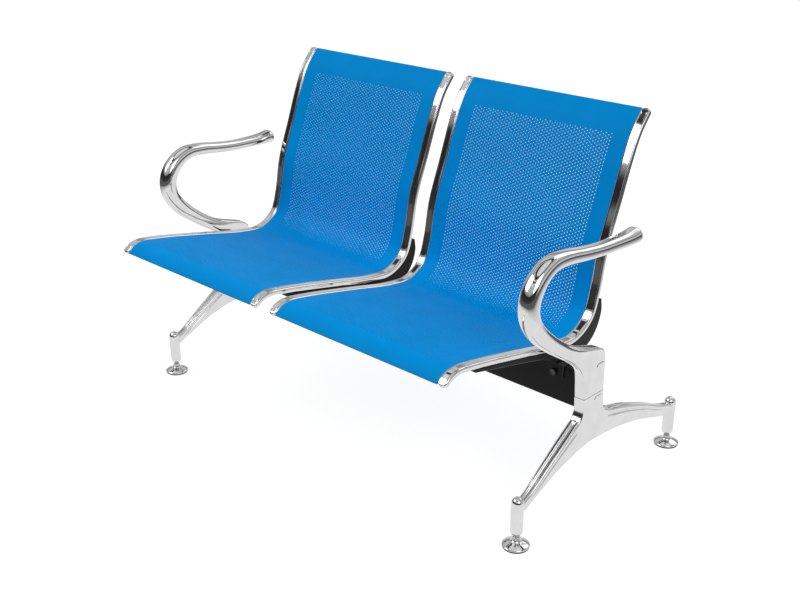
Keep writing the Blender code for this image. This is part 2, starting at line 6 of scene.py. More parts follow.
import bmesh
import bpy
import numpy as np
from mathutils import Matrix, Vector


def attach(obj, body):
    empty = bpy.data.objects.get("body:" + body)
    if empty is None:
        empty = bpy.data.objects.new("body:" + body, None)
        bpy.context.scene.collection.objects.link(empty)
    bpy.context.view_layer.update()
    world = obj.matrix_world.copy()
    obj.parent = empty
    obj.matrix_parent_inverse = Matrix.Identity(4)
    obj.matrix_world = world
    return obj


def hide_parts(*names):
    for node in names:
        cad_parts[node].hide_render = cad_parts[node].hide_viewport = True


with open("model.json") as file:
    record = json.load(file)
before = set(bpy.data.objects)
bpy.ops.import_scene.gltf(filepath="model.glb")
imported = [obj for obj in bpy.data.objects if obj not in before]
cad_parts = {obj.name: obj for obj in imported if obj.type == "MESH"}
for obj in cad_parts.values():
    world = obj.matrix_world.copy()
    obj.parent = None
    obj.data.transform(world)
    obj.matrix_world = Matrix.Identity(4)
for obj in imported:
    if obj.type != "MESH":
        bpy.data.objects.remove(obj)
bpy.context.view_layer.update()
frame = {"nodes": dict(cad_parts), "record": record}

SIDES = {"left": -1, "right": 1}
PLACES = ("outer", "inner")

# The bench's own sizes
SEAT_PITCH = 0.522
PANEL_WIDTH = 0.4392
SHEET = 0.0015
RAIL_WIDTH = 0.021
RAIL_DEPTH = 0.0115
RAIL_ROUND = 0.0035
RAIL_PROUD = 0.0015
RAIL_CENTRE = RAIL_PROUD - RAIL_DEPTH / 2
RAIL_GROOVE = 0.0007
PLUG_PROUD = 0.0036
PLUG_SEAM = 0.0116  # from the plug's tip
PLUG_END = 0.0120
END_X = 0.556
HUB_WIDTH = 0.025
RELIEF_Y = 0.0235
RELIEF_WIDTH = 0.0270
RELIEF_ROUND = 0.0085
TIP_DOME = 0.0125
GAP = 0.0003
RAIL_X = PANEL_WIDTH / 2 + GAP + RAIL_WIDTH / 2
BEAM_Y = 0.0046
BEAM_DEPTH = 0.050
BEAM_BOTTOM = 0.2265
BEAM_TOP = 0.3065
BEAM_ROUND = 0.005
BEAM_HALF_LENGTH = END_X - HUB_WIDTH / 2 - GAP
FOOT_Y = {"front": -0.2115, "rear": 0.3407}
CAP_Z = {"front": 0.0985, "rear": 0.1060}
POST_RADIUS = 0.013
POST_BOTTOM = 0.031
BORE_TOP = 0.080
STUD_RADIUS = 0.005
THREAD_PITCH = 0.0015
THREAD_DEPTH = 0.0009
HEXAGON_HALF = 0.0070

FLOOR_REACH = 30.0

# The perforated field: staggered holes in columns along the seat
HOLE_PITCH = 0.0074
HOLE_RADIUS = 0.0013
COLUMNS = 57
HOLES_IN_COLUMN = 107
FIELD_START = 0.0505  # the first hole, measured along the sheet from its front edge
FIELD_MARGIN = 0.002  # from the outermost holes to the straight lines of the border
COLUMN_PITCH = HOLE_PITCH * math.sqrt(3) / 2

SEAT_CURVE = (
    (-0.3664, 0.3880), (-0.3544, 0.3985), (-0.3304, 0.4058), (-0.2754, 0.4003), (-0.1454, 0.3765),
    (-0.0254, 0.3535), (0.0346, 0.3520), (0.0796, 0.3790), (0.0991, 0.4300), (0.1166, 0.5150),
    (0.1506, 0.6050), (0.1826, 0.6900), (0.2066, 0.7400), (0.2386, 0.7800),
)

BRACKET_WIDTH = 0.018
BRACKET_EDGE = 0.0022
BRACKET_FRONT_Y = -0.285
BRACKET_TIP_Z = 0.409
BRACKET_FOOT = 0.3111
BRACKET_ARM = (
    (-0.2804, 0.3830), (-0.2024, 0.3660), (-0.1024, 0.3440), (-0.0484, 0.3280), (-0.0244, BRACKET_FOOT),
)
BRACKET_BACK = (
    (0.0356, BRACKET_FOOT), (0.0776, 0.3200), (0.1056, 0.3460), (0.1191, 0.3820), (0.1166, 0.4090),
)

# Outer y, outer z, inner y, inner z, width, lean towards the seats
ARM_SECTIONS = (
    (0.1226, 0.5740, 0.1286, 0.5440, 0.0365, 0.0000),
    (0.0976, 0.5702, 0.1000, 0.5438, 0.0345, 0.0010),
    (0.0556, 0.5690, 0.0576, 0.5450, 0.0325, 0.0025),
    (0.0076, 0.5700, 0.0086, 0.5465, 0.0310, 0.0040),
    (-0.0454, 0.5760, -0.0424, 0.5505, 0.0320, 0.0055),
    (-0.0964, 0.5835, -0.0904, 0.5560, 0.0340, 0.0065),
    (-0.1480, 0.5825, -0.1304, 0.5545, 0.0360, 0.0070),
    (-0.1884, 0.5590, -0.1590, 0.5393, 0.0380, 0.0070),
    (-0.2134, 0.5190, -0.1778, 0.5095, 0.0380, 0.0070),
    (-0.2112, 0.4725, -0.1768, 0.4805, 0.0380, 0.0068),
    (-0.1836, 0.4288, -0.1582, 0.4542, 0.0360, 0.0058),
    (-0.1444, 0.3968, -0.1250, 0.4236, 0.0330, 0.0043),
    (-0.0984, 0.3660, -0.0824, 0.3932, 0.0300, 0.0025),
    (-0.0584, 0.3400, -0.0444, 0.3740, 0.0265, 0.0010),
    (-0.0354, 0.3170, -0.0024, 0.3600, 0.0250, 0.0000),
    (-0.0292, 0.2950, 0.0361, 0.3440, 0.0250, 0.0000),
    (-0.0279, 0.2750, 0.0406, 0.3050, 0.0250, 0.0000),
    (-0.0263, 0.2543, 0.0419, 0.2543, 0.0250, 0.0000),
)

# A leg casting's side view, from the seam down the front leg, under the arch and up the rear leg
LEG_OUTLINE = (
    (-0.0263, 0.2540), (-0.0252, 0.2300), (-0.0314, 0.2120), (-0.0524, 0.1970), (-0.0820, 0.1775),
    (-0.1148, 0.1555), (-0.1503, 0.1310), (-0.1814, 0.1090), (-0.2074, 0.0950),
    (-0.2130, 0.0870),
    (-0.2024, 0.0780), (-0.1724, 0.0915), (-0.1374, 0.1080), (-0.0969, 0.1255), (-0.0574, 0.1370),
    (-0.0144, 0.1455), (0.0100, 0.1475), (0.0346, 0.1470),
    (0.1006, 0.1420), (0.1611, 0.1305), (0.2176, 0.1165), (0.2786, 0.0960), (0.3306, 0.0840),
    (0.3420, 0.0930),
    (0.3366, 0.1030), (0.2876, 0.1200), (0.2296, 0.1460), (0.1746, 0.1670), (0.1156, 0.1860),
    (0.0716, 0.1975), (0.0486, 0.2100), (0.0436, 0.2300), (0.0419, 0.2540),
)
LEG_WIDTHS = (0.025, 0.025, 0.025, 0.025, 0.025, 0.0236, 0.022, 0.0206, 0.020)  # from hub to foot
LEG_STEPS = 8


# Materials

def material(name, colours, roughness, metallic=0.0, speckle=40.0, bump=(400.0, 0.05), spec=0.5):
    """A finish with a little variation in colour, in roughness and in relief, all from noise.

    The colours and the roughness are (low, high), and the bump is (how fine, how strong).
    """
    made = bpy.data.materials.new(name)
    made.use_nodes = True
    tree = made.node_tree
    nodes, links = tree.nodes, tree.links
    shader = nodes["Principled BSDF"]
    shader.inputs["Metallic"].default_value = metallic
    shader.inputs["Specular IOR Level"].default_value = spec
    place = nodes.new("ShaderNodeTexCoord")

    def noise(scale, detail):
        made_noise = nodes.new("ShaderNodeTexNoise")
        made_noise.inputs["Scale"].default_value = scale
        made_noise.inputs["Detail"].default_value = detail
        links.new(place.outputs["Object"], made_noise.inputs["Vector"])
        return made_noise

    broad = noise(speckle, 3.0)
    ramp = nodes.new("ShaderNodeValToRGB")
    ramp.color_ramp.elements[0].position = 0.35
    ramp.color_ramp.elements[1].position = 0.65
    ramp.color_ramp.elements[0].color = (*colours[0], 1.0)
    ramp.color_ramp.elements[1].color = (*colours[1], 1.0)
    links.new(broad.outputs["Fac"], ramp.inputs["Fac"])
    links.new(ramp.outputs["Color"], shader.inputs["Base Color"])
    spread = nodes.new("ShaderNodeMapRange")
    spread.inputs["To Min"].default_value = roughness[0]
    spread.inputs["To Max"].default_value = roughness[1]
    links.new(noise(speckle * 3.0, 5.0).outputs["Fac"], spread.inputs["Value"])
    links.new(spread.outputs["Result"], shader.inputs["Roughness"])
    relief = nodes.new("ShaderNodeBump")
    relief.inputs["Strength"].default_value = bump[1]
    relief.inputs["Distance"].default_value = 0.0004
    links.new(noise(bump[0], 2.0).outputs["Fac"], relief.inputs["Height"])
    links.new(relief.outputs["Normal"], shader.inputs["Normal"])
    return made


def grey(level):
    return (level, level, level)


BLUE = material(
    "blue_coat", ((0.0, 0.30, 0.775), (0.0, 0.315, 0.815)), (0.40, 0.50),
    speckle=12.0, bump=(900.0, 0.10), spec=0.02,
)
CHROME = material("chrome", (grey(0.66), grey(0.70)), (0.045, 0.085), 1.0, bump=(30.0, 0.008))
CAST = material("cast_polish", (grey(0.66), grey(0.70)), (0.05, 0.09), 1.0, bump=(30.0, 0.008))
BLACK = material("black_coat", (grey(0.006), grey(0.010)), (0.25, 0.36), bump=(800.0, 0.08), spec=0.12)
ZINC = material(
    "zinc", ((0.50, 0.50, 0.49), (0.62, 0.62, 0.60)), (0.24, 0.42), 1.0, speckle=120.0, bump=(500.0, 0.1)
)
DARK_ZINC = material(
    "dark_zinc", ((0.035, 0.035, 0.036), grey(0.06)), (0.24, 0.40), 1.0, speckle=120.0, bump=(500.0, 0.1)
)
RUBBER = material("rubber", (grey(0.015), grey(0.025)), (0.70, 0.90), bump=(700.0, 0.3), spec=0.3)


# Mesh helpers

def add(name, data, look, body, nodes=(), sharp=35.0):
    """A piece that rides on a body, stands for some CAD nodes and takes the given finish."""
    piece = bpy.data.objects.new(name, data)
    bpy.context.scene.collection.objects.link(piece)
    data.materials.append(look)
    data.shade_smooth()
    data.set_sharp_from_angle(angle=math.radians(sharp))
    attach(piece, body)
    if nodes:
        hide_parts(*nodes)
    return piece


def mesh_of(name, points, faces, fix=True):
    """A mesh from points and faces, its normals turned outwards."""
    mesh = bpy.data.meshes.new(name)
    mesh.from_pydata([tuple(map(float, p)) for p in points], [], faces)
    if fix:
        bm = bmesh.new()
        bm.from_mesh(mesh)
        bmesh.ops.remove_doubles(bm, verts=bm.verts, dist=1e-7)
        bmesh.ops.recalc_face_normals(bm, faces=bm.faces)
        bm.to_mesh(mesh)
        bm.free()
    mesh.validate()
    return mesh


def round_angles(around):
    return np.arange(around) * 2 * math.pi / around


def circle(centre, radius, height, angles):
    """A level ring about a vertical axis. The radius may differ from angle to angle."""
    x, y, z = centre
    level = np.full(len(angles), z + height)
    return np.stack([x + radius * np.cos(angles), y + radius * np.sin(angles), level], -1)


class Solid:
    """Points and faces that are gathered from several lofts."""

    def __init__(self):
        self.points = []
        self.faces = []

    def loft(self, rings, caps=(True, True)):
        """Closed rings with as many points each, joined in turn."""
        rings = np.asarray(rings)
        base = len(self.points)
        count, around = rings.shape[:2]
        self.points.extend(rings.reshape(-1, 3))
        for ring in range(count - 1):
            low, high = base + ring * around, base + (ring + 1) * around
            for i in range(around):
                j = (i + 1) % around
                self.faces.append((low + i, low + j, high + j, high + i))
        if caps[0]:
            self.faces.append(tuple(range(base, base + around)))
        if caps[1]:
            last = base + (count - 1) * around
            self.faces.append(tuple(range(last, last + around)))
        return self

    def lathe(self, profile, centre, around=48):
        """A profile of (radius, height), turned about a vertical axis. It starts and ends on the axis."""
        angles = round_angles(around)
        rings = [circle(centre, radius, height, angles) for radius, height in profile]
        return self.loft(rings, (False, False))

    def mesh(self, name):
        return mesh_of(name, self.points, self.faces)


def through(points, steps):
    """Points on a smooth centripetal Catmull-Rom curve, with `steps` to each stretch."""
    p = [np.array(point, float) for point in points]
    p = [2 * p[0] - p[1], *p, 2 * p[-1] - p[-2]]
    curve = []
    for a, b, c, d in zip(p, p[1:], p[2:], p[3:]):
        t1 = np.linalg.norm((b - a)[:2]) ** 0.5
        t2 = t1 + np.linalg.norm((c - b)[:2]) ** 0.5
        t3 = t2 + np.linalg.norm((d - c)[:2]) ** 0.5
        for step in range(steps):
            t = t1 + (t2 - t1) * step / steps
            ab = a + (b - a) * t / t1
            bc = b + (c - b) * (t - t1) / (t2 - t1)
            cd = c + (d - c) * (t - t2) / (t3 - t2)
            early = ab + (bc - ab) * t / t2
            late = bc + (cd - bc) * (t - t1) / (t3 - t1)
            curve.append(early + (late - early) * (t - t1) / (t2 - t1))
    curve.append(p[-2])
    return np.array(curve)


def relax(values, spread):
    """The rows smoothed along their order, with both ends kept."""
    reach = int(3 * spread)
    weights = np.exp(-0.5 * (np.arange(-reach, reach + 1) / spread) ** 2)
    weights /= weights.sum()
    padded = np.pad(values, ((reach, reach), (0, 0)), mode="reflect", reflect_type="odd")
    return np.stack([np.convolve(padded[:, k], weights, mode="valid") for k in range(values.shape[1])], -1)


def even_spaced(path, step):
    """The path resampled at even distances, and its length."""
    along = np.concatenate([[0.0], np.cumsum(np.linalg.norm(np.diff(path, axis=0), axis=1))])
    count = int(round(along[-1] / step)) + 1
    at = np.linspace(0.0, along[-1], count)
    return np.stack([np.interp(at, along, path[:, k]) for k in range(path.shape[1])], -1), along[-1]


def smooth_step(values):
    return values * values * (3 - 2 * values)


def rounded_rectangle(width, depth, radius, per_corner=6):
    """Corners of a rounded rectangle in order, anticlockwise."""
    points = []
    for quarter in range(4):
        centre_x = (width / 2 - radius) * (1 if quarter in (0, 3) else -1)
        centre_y = (depth / 2 - radius) * (1 if quarter in (0, 1) else -1)
        for step in range(per_corner):
            angle = math.pi / 2 * (quarter + step / (per_corner - 1))
            points.append((centre_x + radius * math.cos(angle), centre_y + radius * math.sin(angle)))
    return np.array(points)


# The seat's curve: points, unit tangents and upward normals at even distances
PATH_STEP = 0.001
ROUGH_PATH, _ = even_spaced(through(SEAT_CURVE, 24), PATH_STEP)
PATH, PATH_LENGTH = even_spaced(relax(ROUGH_PATH, 5.0), PATH_STEP)
PATH_AT = np.linspace(0.0, PATH_LENGTH, len(PATH))
TANGENT = np.gradient(PATH, axis=0)
TANGENT /= np.linalg.norm(TANGENT, axis=1)[:, None]
HEM_RADIUS = 0.0020
HEM_TURN = math.pi * HEM_RADIUS
HEM_FLAP = 0.014


def on_curve(along):
    """(y, z), tangent and normal at distances along the seat's curve."""
    along = np.atleast_1d(along)
    point = np.stack([np.interp(along, PATH_AT, PATH[:, k]) for k in (0, 1)], -1)
    tangent = np.stack([np.interp(along, PATH_AT, TANGENT[:, k]) for k in (0, 1)], -1)
    tangent /= np.linalg.norm(tangent, axis=1)[:, None]
    return point, tangent, np.stack([-tangent[:, 1], tangent[:, 0]], -1)


def on_sheet(along):
    """(y, z) and normal of the sheet's outer face. Past either end it turns under in a hem."""
    along = np.atleast_1d(along)
    point, tangent, normal = on_curve(np.clip(along, 0.0, PATH_LENGTH))
    for sign, past in ((-1, -along), (1, along - PATH_LENGTH)):
        turning = past > 0
        angle = np.clip(past / HEM_RADIUS, 0.0, math.pi)[:, None]
        centre = point - HEM_RADIUS * normal
        turned_normal = np.cos(angle) * normal + sign * np.sin(angle) * tangent
        flap = np.clip(past - HEM_TURN, 0.0, None)
        at_end = 0.0 if sign < 0 else PATH_LENGTH
        flap_point, _, flap_normal = on_curve(np.clip(at_end - sign * flap, 0.0, PATH_LENGTH))
        on_flap = flap[:, None] > 0
        folded = flap_point - 2 * HEM_RADIUS * flap_normal
        bent = np.where(on_flap, folded, centre + HEM_RADIUS * turned_normal)
        bent_normal = np.where(on_flap, -flap_normal, turned_normal)
        point = np.where(turning[:, None], bent, point)
        normal = np.where(turning[:, None], bent_normal, normal)
    return point, normal


# Seats

def field_holes():
    """Where each hole is, as {(column, row): index}, with the middle of each as (x, distance)."""
    index, middles = {}, []
    for column in range(COLUMNS):
        odd = column % 2
        for row in range(HOLES_IN_COLUMN - odd):
            index[column, row] = len(middles)
            across = (column - (COLUMNS - 1) / 2) * COLUMN_PITCH
            middles.append((across, FIELD_START + (row + odd / 2) * HOLE_PITCH))
    return index, np.array(middles)


def field_faces(index):
    """The sheet between the holes: quads between neighbours, and a triangle among each three."""
    faces = []
    for (column, row), hole in index.items():
        odd = column % 2
        here = 6 * hole
        above = index.get((column, row + 1))
        right_up = index.get((column + 1, row + odd))
        right_down = index.get((column + 1, row + odd - 1))
        left_up = index.get((column - 1, row + odd))
        if above is not None:
            faces.append((here + 2, here + 1, 6 * above + 5, 6 * above + 4))
        if right_up is not None:
            faces.append((here, 6 * right_up + 4, 6 * right_up + 3, here + 1))
        if right_down is not None:
            faces.append((here + 5, 6 * right_down + 3, 6 * right_down + 2, here))
        if above is not None and right_up is not None:
            faces.append((here + 1, 6 * right_up + 3, 6 * above + 5))
        if above is not None and left_up is not None:
            faces.append((6 * left_up, here + 2, 6 * above + 4))
    return faces


def field_chains(index):
    """The four jagged edges of the field, each from low to high x or distance."""
    last_row, last_column = HOLES_IN_COLUMN - 1, COLUMNS - 1

    def corner(column, row, which):
        return 6 * index[column, row] + which

    left, right, front, back = [], [], [], []
    for row in range(HOLES_IN_COLUMN):
        for which, mirrored in ((4, 5), (3, 0), (2, 1)):
            if (row == 0 and which == 4) or (row == last_row and which == 2):
                continue
            left.append(corner(0, row, which))
            right.append(corner(last_column, row, mirrored))
    for column in range(COLUMNS):
        if column % 2:
            front += [corner(column, 0, which) for which in (4, 5)]
            back += [corner(column, last_row - 1, which) for which in (2, 1)]
        else:
            front += [corner(column, 0, which) for which in (3, 4, 5, 0)]
            back += [corner(column, last_row, which) for which in (3, 2, 1, 0)]
    return left, right, front, back


def seat_skin(side):
    """The coated sheet with its field of holes, its plain border and a hem at each end."""
    index, middles = field_holes()
    angles = np.arange(6) * math.pi / 3
    ring = HOLE_RADIUS * np.stack([np.cos(angles), np.sin(angles)], -1)
    flat = [tuple(p) for p in (middles[:, None, :] + ring[None]).reshape(-1, 2)]
    faces = field_faces(index)
    left, right, front, back = field_chains(index)
    x_low = min(flat[i][0] for i in left) - FIELD_MARGIN
    s_low = min(flat[i][1] for i in front) - FIELD_MARGIN
    s_high = max(flat[i][1] for i in back) + FIELD_MARGIN
    edge = PANEL_WIDTH / 2
    border = [-edge, x_low]
    columns = [*border, *(flat[i][0] for i in front), *(-x for x in reversed(border))]
    start = -HEM_TURN - HEM_FLAP
    stop = PATH_LENGTH + HEM_TURN + HEM_FLAP
    low_rows = [
        *np.linspace(start, -HEM_TURN, 3)[:-1],
        *np.linspace(-HEM_TURN, 0.0, 6)[:-1],
        *np.linspace(0.0, s_low, 7),
    ]
    high_rows = [
        *np.linspace(s_high, PATH_LENGTH, 7),
        *np.linspace(PATH_LENGTH, PATH_LENGTH + HEM_TURN, 6)[1:],
        *np.linspace(PATH_LENGTH + HEM_TURN, stop, 3)[1:],
    ]
    rows = [*low_rows, *(flat[i][1] for i in left), *high_rows]
    first_x, last_x = len(border) - 1, len(columns) - len(border)
    first_s, last_s = len(low_rows) - 1, len(rows) - len(high_rows)
    grid = {}
    for i, x in enumerate(columns):
        for j, s in enumerate(rows):
            if first_x < i < last_x and first_s < j < last_s:
                continue
            grid[i, j] = len(flat)
            flat.append((x, s))
    for i in range(len(columns) - 1):
        for j in range(len(rows) - 1):
            if not (first_x <= i < last_x and first_s <= j < last_s):
                faces.append((grid[i, j], grid[i + 1, j], grid[i + 1, j + 1], grid[i, j + 1]))
    # The jagged edges are sewn to the straight lines of the border, corner by corner.
    west = [grid[first_x, j] for j in range(first_s, last_s + 1)]
    east = [grid[last_x, j] for j in range(first_s, last_s + 1)]
    south = [grid[i, first_s] for i in range(first_x + 1, last_x)]
    north = [grid[i, last_s] for i in range(first_x + 1, last_x)]
    for k in range(len(left) - 1):
        faces.append((west[k + 1], left[k], left[k + 1], west[k + 2]))
        faces.append((right[k], east[k + 1], east[k + 2], right[k + 1]))
    for k in range(len(front) - 1):
        faces.append((south[k], south[k + 1], front[k + 1], front[k]))
        faces.append((back[k], back[k + 1], north[k + 1], north[k]))
    faces.append((west[0], south[0], front[0], west[1]))
    faces.append((south[-1], east[0], east[1], front[-1]))
    faces.append((west[-2], back[0], north[0], west[-1]))
    faces.append((back[-1], east[-2], east[-1], north[-1]))
    flat = np.array(flat)
    point, normal = on_sheet(flat[:, 1])
    middle_x = SIDES[side] * SEAT_PITCH / 2
    upper = np.column_stack([flat[:, 0] + middle_x, point])
    lower = np.column_stack([flat[:, 0] + middle_x, point - SHEET * normal])
    count = len(flat)
    walls = []
    for hole in range(len(middles)):
        for which in range(6):
            a, b = 6 * hole + which, 6 * hole + (which + 1) % 6
            walls.append((a, b, count + b, count + a))
    loop = [grid[i, 0] for i in range(len(columns))]
    loop += [grid[len(columns) - 1, j] for j in range(1, len(rows))]
    loop += [grid[i, len(rows) - 1] for i in range(len(columns) - 2, -1, -1)]
    loop += [grid[0, j] for j in range(len(rows) - 2, 0, -1)]
    for k, a in enumerate(loop):
        b = loop[(k + 1) % len(loop)]
        walls.append((b, a, count + a, count + b))
    under = [tuple(count + i for i in reversed(face)) for face in faces]
    mesh = mesh_of(f"seat_skin_{side}", np.concatenate([upper, lower]), [*faces, *under, *walls], fix=False)
    skin = add(f"seat_skin_{side}", mesh, BLUE, "bench", [f"seat_panel_{side}"])
    skin.visible_glossy = False  # the bright metal shows the studio alone, with no blue in it


def rail_x(side, place):
    """Where the middle of a rail is, and of the bracket under it."""
    way = SIDES[side] if place == "outer" else -SIDES[side]
    return SIDES[side] * SEAT_PITCH / 2 + way * RAIL_X


def rail_ring(half_x, half_y, groove):
    """A rail's section: a rounded tube with a fine groove along each edge of its face."""
    per_corner = 7
    radius = min(RAIL_ROUND, 0.8 * half_x, 0.8 * half_y)
    ring = rounded_rectangle(2 * half_x, 2 * half_y, radius, per_corner)
    line = max(half_x - radius - 0.0012, 0.0010)
    face = [
        (line + 0.0006, half_y), (line + 0.0002, half_y - groove),
        (line - 0.0002, half_y - groove), (line - 0.0006, half_y),
    ]
    return np.concatenate([ring[:per_corner], face, [(-u, v) for u, v in reversed(face)], ring[per_corner:]])


def side_rail(side, place):
    """A chromed tube along the seat's curve, with a rounded plug in each end."""
    x = rail_x(side, place)
    ends = [
        0.0, 0.0002, 0.0006, 0.0012, 0.0020, 0.0030, 0.0042, 0.0056, 0.0072, 0.0090, 0.0112,
        PLUG_SEAM - 0.0002, PLUG_SEAM + 0.0002, PLUG_END,
    ]
    stations = [q - PLUG_PROUD for q in ends]
    stations += list(np.linspace(PLUG_END, PATH_LENGTH - PLUG_END, 241))
    stations += [PATH_LENGTH + PLUG_PROUD - q for q in reversed(ends)]
    rings = []
    for along in stations:
        to_tip = min(along + PLUG_PROUD, PATH_LENGTH + PLUG_PROUD - along)
        wide = RAIL_WIDTH / 2 * math.sqrt(max(1 - max(1 - to_tip / 0.0095, 0.0) ** 2, 0.02))
        deep = RAIL_DEPTH / 2 * math.sqrt(max(1 - max(1 - to_tip / 0.0050, 0.0) ** 2, 0.02))
        if abs(to_tip - PLUG_SEAM) < 0.0003:  # the seam where the plug meets the tube
            wide, deep = wide - 0.0004, deep - 0.0004
        point, tangent, normal = (v[0] for v in on_curve(min(max(along, 0.0), PATH_LENGTH)))
        past = min(along, 0.0) + max(along - PATH_LENGTH, 0.0)
        centre = point + RAIL_CENTRE * normal + past * tangent
        flat = rail_ring(wide, deep, RAIL_GROOVE if to_tip > PLUG_END + 0.0005 else 0.0)
        rings.append(np.column_stack([x + flat[:, 0], centre + flat[:, 1:] * normal]))
    tag = f"{side}_{place}"
    stands_for = [f"side_rail_{tag}", f"rail_plug_{tag}_front", f"rail_plug_{tag}_top"]
    add(f"rail_{tag}", Solid().loft(rings).mesh(f"rail_{tag}"), CHROME, "bench", stands_for)


def plate(name, outline, x, width, edge):
    """The mesh of a plate in the side view with rounded edges."""
    data = bpy.data.curves.new(name, "CURVE")
    data.dimensions = "2D"
    data.fill_mode = "BOTH"
    data.extrude = width / 2 - edge
    data.bevel_depth = edge
    data.bevel_resolution = 3
    data.offset = -edge
    spline = data.splines.new("POLY")
    spline.points.add(len(outline) - 1)
    for target, (y, z) in zip(spline.points, outline):
        target.co = (y, z, 0.0, 1.0)
    spline.use_cyclic_u = True
    guide = bpy.data.objects.new(name, data)
    bpy.context.scene.collection.objects.link(guide)
    guide.location.x = x
    guide.rotation_euler = (math.pi / 2, 0.0, math.pi / 2)
    bpy.context.view_layer.update()
    mesh = bpy.data.meshes.new_from_object(guide.evaluated_get(bpy.context.evaluated_depsgraph_get()))
    mesh.transform(guide.matrix_world)
    bpy.data.objects.remove(guide)
    mesh.name = name
    return mesh


def bracket(side, place):
    """The black sickle under a rail: an arm under the seat, a foot on the beam and a tip up the back."""
    point, _, normal = on_curve(np.linspace(0.0, PATH_LENGTH, 181))
    back = point + (RAIL_PROUD - RAIL_DEPTH - GAP) * normal
    back = [p for p in back if p[0] > BRACKET_FRONT_Y and p[1] < BRACKET_TIP_Z]
    lower = [*through(BRACKET_ARM, 8), *through(BRACKET_BACK, 8)]
    tag = f"{side}_{place}"
    outline = [*back, *reversed(lower)]
    mesh = plate(f"bracket_{tag}", outline, rail_x(side, place), BRACKET_WIDTH, BRACKET_EDGE)
    arm = add(mesh.name, mesh, BLACK, "bench", [f"seat_bracket_{tag}"])
    arm.visible_glossy = False  # the metal in front of it stays bright


# Castings

def casting_ring(x, section, boxy=0.0):
    """A casting's section, nearly oval in the loop and a rounded box at the hub."""
    per_corner = 9
    outer_y, outer_z, inner_y, inner_z, width, lean = section
    outer = np.array((outer_y, outer_z))
    inner = np.array((inner_y, inner_z))
    depth = np.linalg.norm(outer - inner)
    across = (outer - inner) / depth
    centre = (outer + inner) / 2
    small = min(width, depth)
    crown = 0.015 * small * (1 - boxy)
    points = []
    for quarter in range(4):
        top = quarter in (0, 1)
        soft = 0.46 if top else 0.36
        hard = min(0.20 if top else 0.12, 0.005 / small)
        radius = small * (soft + (hard - soft) * boxy)
        side_x = 1 if quarter in (0, 3) else -1
        side_v = 1 if top else -1
        for step in range(per_corner):
            angle = math.pi / 2 * (quarter + step / (per_corner - 1))
            u = side_x * (width / 2 - radius) + radius * math.cos(angle)
            v = side_v * (depth / 2 - radius) + radius * math.sin(angle)
            if top:
                v += crown * (1 - (2 * u / width) ** 2)
            points.append((x - math.copysign(lean, x) + u, *(centre + v * across)))
    return np.array(points)


def armrest(side):
    """The loop, from its bulbous tip round to the upper half of the hub."""
    x = SIDES[side] * END_X
    steps = 12
    sections = relax(through(ARM_SECTIONS, steps), 2.0)
    at = np.arange(len(sections)) / steps
    boxy = smooth_step(np.clip((at - 12.6) / 2.4, 0.0, 1.0))
    tip = sections[0]
    away = (tip[:2] - sections[3][:2]) / np.linalg.norm(tip[:2] - sections[3][:2])
    rings = []
    for degrees in (86, 78, 69, 60, 50, 40, 30, 20, 10):
        angle = math.radians(degrees)
        ring = casting_ring(x, tip)
        middle = ring.mean(0)
        ring = middle + (ring - middle) * math.cos(angle) ** 0.62
        ring[:, 1:] += TIP_DOME * math.sin(angle) * away
        rings.append(ring)
    rings += [casting_ring(x, section, part) for section, part in zip(sections, boxy)]
    seam = rings[-1].copy()
    middle = seam.mean(0)
    rings[-1] = seam + np.array((0.0, 0.0, 0.0007))
    inner = middle + (seam - middle) * np.array((0.945, 0.978, 1.0))
    rings.append(inner)
    solid = Solid().loft(rings)
    relief(solid, side, 0.2600, 0.3210)
    mesh = solid.mesh(f"arm_{side}")
    add(mesh.name, mesh, CAST, "bench", [f"armrest_{side}"], 28.0)


def leg_profile(width, groove, channel, scale):
    """Half of a leg's section at its edge, as (half width, depth in from the outline), from side to middle.

    The groove runs along the middle, the channel along the flank, and both go from 0 to 1.
    """
    half = width / 2
    flank = (
        (0.0, 0.0180), (0.0, 0.0160), (0.0010, 0.0152), (0.0020, 0.0138), (0.0023, 0.0122), (0.0021, 0.0107),
        (0.0012, 0.0094), (0.0002, 0.0086), (0.0, 0.0076),
    )
    points = [(half - channel * dent, depth * scale) for dent, depth in flank]
    radius = min(0.0052 - 0.0008 * groove, 0.0072 * scale)
    for step in range(9):
        angle = math.pi / 2 * step / 8
        points.append((half - radius + radius * math.cos(angle), radius - radius * math.sin(angle)))
    slot = 0.0046
    for step in range(1, 17):
        u = (half - radius) * (1 - step / 16)
        dip = 0.5 + 0.5 * math.cos(math.pi * min(u / slot, 1.0))
        points.append((u, 0.0034 * groove * dip ** 0.8 + 0.0003 * (1 - groove) * (u / half) ** 2))
    return np.array(points)


def relief(solid, side, low, high):
    """A slightly raised pad with soft edges on the hub's outer side, between two heights."""
    rings = []
    for inset, out in ((-0.0004, -0.002), (-0.0004, 0.0), (0.0, 0.0003), (0.0006, 0.0008), (0.0014, 0.0010)):
        ring = rounded_rectangle(RELIEF_WIDTH - 2 * inset, high - low - 2 * inset, RELIEF_ROUND - inset, 9)
        x = np.full(len(ring), SIDES[side] * (END_X + HUB_WIDTH / 2 + out))
        rings.append(np.column_stack([x, RELIEF_Y + ring[:, 0], (low + high) / 2 + ring[:, 1]]))
    solid.loft(rings)


